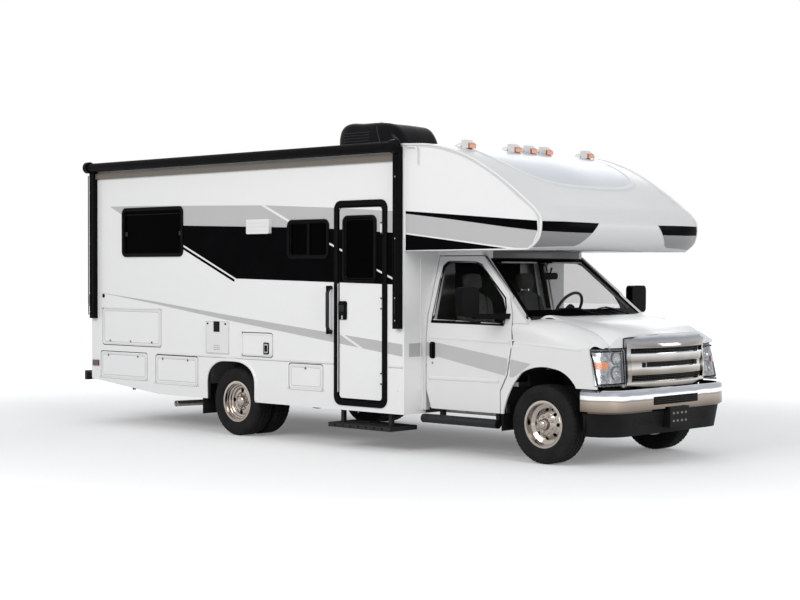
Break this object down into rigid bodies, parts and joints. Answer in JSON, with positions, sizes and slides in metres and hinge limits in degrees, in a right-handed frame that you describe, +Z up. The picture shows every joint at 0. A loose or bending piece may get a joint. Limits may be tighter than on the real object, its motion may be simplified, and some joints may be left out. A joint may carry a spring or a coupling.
{
  "type": "motorhome",
  "caption": "Motorhome with a sleeping nose over a cutaway van cab, awning, roof air conditioner, entry door, side hatches, twin rear wheels, opening doors and hood.",
  "frame": {"origin": "on the ground under the middle of the whole vehicle", "axes": "+X forward, +Y to the left, +Z up"},
  "size_m": [7.596, 2.96, 3.3932],
  "materials": {
    "white_body": "gloss",
    "white_plastic": "satin",
    "chassis_black": "satin",
    "engine_grey": "matt",
    "exhaust_steel": "satin",
    "tank_black": "matt",
    "liner_grey": "matt",
    "floor_brown": "matt",
    "black_trim": "gloss",
    "black_plastic": "matt",
    "dark_glass": "gloss",
    "cab_glass": "gloss",
    "chrome": "polished",
    "lamp_clear": "clear",
    "lamp_amber": "clear",
    "seat_grey": "woven",
    "tyre": "matt",
    "knuckle_iron": "matt"
  },
  "bodies": {
    "vehicle": {"chassis_frame": "chassis_black", "front_axle": "chassis_black", "rear_axle": "chassis_black", "engine_block": "engine_grey", "exhaust_pipe": "exhaust_steel", "tanks": "tank_black", "wall_right": "white_body", "wall_left": "white_body", "wall_rear": "white_body", "house_roof": "white_body", "house_floor": "floor_brown", "hatch_liners": "liner_grey", "window_frames": "black_trim", "window_panes": "dark_glass", "front_cap": "white_body", "cab_surround": "white_body", "windshield": "cab_glass", "cab_shell": "white_body", "fenders": "white_body", "grille": "chrome", "headlamps": "lamp_clear", "front_bumper": "chrome", "front_valance": "black_plastic", "side_steps": "black_plastic", "dashboard": "black_plastic", "cab_seats": "seat_grey", "awning": "black_trim", "roof_aircon": "black_trim", "vent_covers": "white_plastic", "signal_lamps": "lamp_amber", "rear_bumper": "chassis_black", "grab_handle": "black_trim", "hatch_hinges": "white_plastic"},
    "entry_door": {"entry_door": "white_body", "entry_window": "dark_glass"},
    "hood": {"hood": "white_body"},
    "cab_door_right": {"cab_door_right": "white_body", "door_glass_right": "cab_glass", "mirror_right": "black_plastic"},
    "knuckle_right": {"knuckle_right": "knuckle_iron"},
    "wheel_front_right": {"tyre_front_right": "tyre", "rim_front_right": "chrome"},
    "wheels_rear_right": {"tyres_rear_right": "tyre", "rims_rear_right": "chrome"},
    "cab_door_left": {"cab_door_left": "white_body", "door_glass_left": "cab_glass", "mirror_left": "black_plastic"},
    "knuckle_left": {"knuckle_left": "knuckle_iron"},
    "wheel_front_left": {"tyre_front_left": "tyre", "rim_front_left": "chrome"},
    "wheels_rear_left": {"tyres_rear_left": "tyre", "rims_rear_left": "chrome"},
    "hatch_rear_upper": {"hatch_rear_upper": "white_body"},
    "hatch_rear_lower": {"hatch_rear_lower": "white_body"},
    "hatch_mid_lower": {"hatch_mid_lower": "white_body"},
    "hatch_side": {"hatch_side": "white_body"},
    "hatch_service": {"hatch_service": "white_body"},
    "hatch_left": {"hatch_left": "white_body"}
  },
  "joints": [
    {"name": "steer_right", "type": "hinge", "parent": "vehicle", "child": "knuckle_right", "pos_m": [2.952, -0.8, 0.368], "axis": [0, 0, 1], "range_deg": [-32, 32]},
    {"name": "spin_front_right", "type": "hinge", "parent": "knuckle_right", "child": "wheel_front_right", "pos_m": [2.952, -0.881, 0.368], "axis": [0, 1, 0], "continuous": true},
    {"name": "spin_rear_right", "type": "hinge", "parent": "vehicle", "child": "wheels_rear_right", "pos_m": [-1.061, -0.988, 0.368], "axis": [0, 1, 0], "continuous": true},
    {"name": "cab_door_right_hinge", "type": "hinge", "parent": "vehicle", "child": "cab_door_right", "pos_m": [2.59, -1, 1], "axis": [0, 0, 1], "range_deg": [0, 68]},
    {"name": "steer_left", "type": "hinge", "parent": "vehicle", "child": "knuckle_left", "pos_m": [2.952, 0.8, 0.368], "axis": [0, 0, 1], "range_deg": [-32, 32]},
    {"name": "spin_front_left", "type": "hinge", "parent": "knuckle_left", "child": "wheel_front_left", "pos_m": [2.952, 0.881, 0.368], "axis": [0, 1, 0], "continuous": true},
    {"name": "spin_rear_left", "type": "hinge", "parent": "vehicle", "child": "wheels_rear_left", "pos_m": [-1.061, 0.988, 0.368], "axis": [0, 1, 0], "continuous": true},
    {"name": "cab_door_left_hinge", "type": "hinge", "parent": "vehicle", "child": "cab_door_left", "pos_m": [2.59, 1, 1], "axis": [0, 0, -1], "range_deg": [0, 68]},
    {"name": "hood_hinge", "type": "hinge", "parent": "vehicle", "child": "hood", "pos_m": [2.784, 0, 1.336], "axis": [0, -1, 0], "range_deg": [0, 45]},
    {"name": "entry_door_hinge", "type": "hinge", "parent": "vehicle", "child": "entry_door", "pos_m": [1.177, -1.287, 1.45], "axis": [0, 0, 1], "range_deg": [0, 110]},
    {"name": "hatch_rear_upper_hinge", "type": "hinge", "parent": "vehicle", "child": "hatch_rear_upper", "pos_m": [-2.844, -1.272, 1.345], "axis": [-1, 0, 0], "range_deg": [0, 110]},
    {"name": "hatch_rear_lower_hinge", "type": "hinge", "parent": "vehicle", "child": "hatch_rear_lower", "pos_m": [-2.988, -1.272, 0.53], "axis": [1, 0, 0], "range_deg": [0, 100]},
    {"name": "hatch_mid_lower_hinge", "type": "hinge", "parent": "vehicle", "child": "hatch_mid_lower", "pos_m": [-2.022, -1.272, 0.51], "axis": [1, 0, 0], "range_deg": [0, 100]},
    {"name": "hatch_side_hinge", "type": "hinge", "parent": "vehicle", "child": "hatch_side", "pos_m": [0.081, -1.272, 0.56], "axis": [1, 0, 0], "range_deg": [0, 100]},
    {"name": "hatch_service_hinge", "type": "hinge", "parent": "vehicle", "child": "hatch_service", "pos_m": [-0.915, -1.272, 1], "axis": [0, 0, -1], "range_deg": [0, 110]},
    {"name": "hatch_left_hinge", "type": "hinge", "parent": "vehicle", "child": "hatch_left", "pos_m": [-2.988, 1.272, 0.53], "axis": [-1, 0, 0], "range_deg": [0, 100]}
  ],
  "couplings": [
    {"joint": "steer_left", "follows": "steer_right", "ratio": 1}
  ]
}
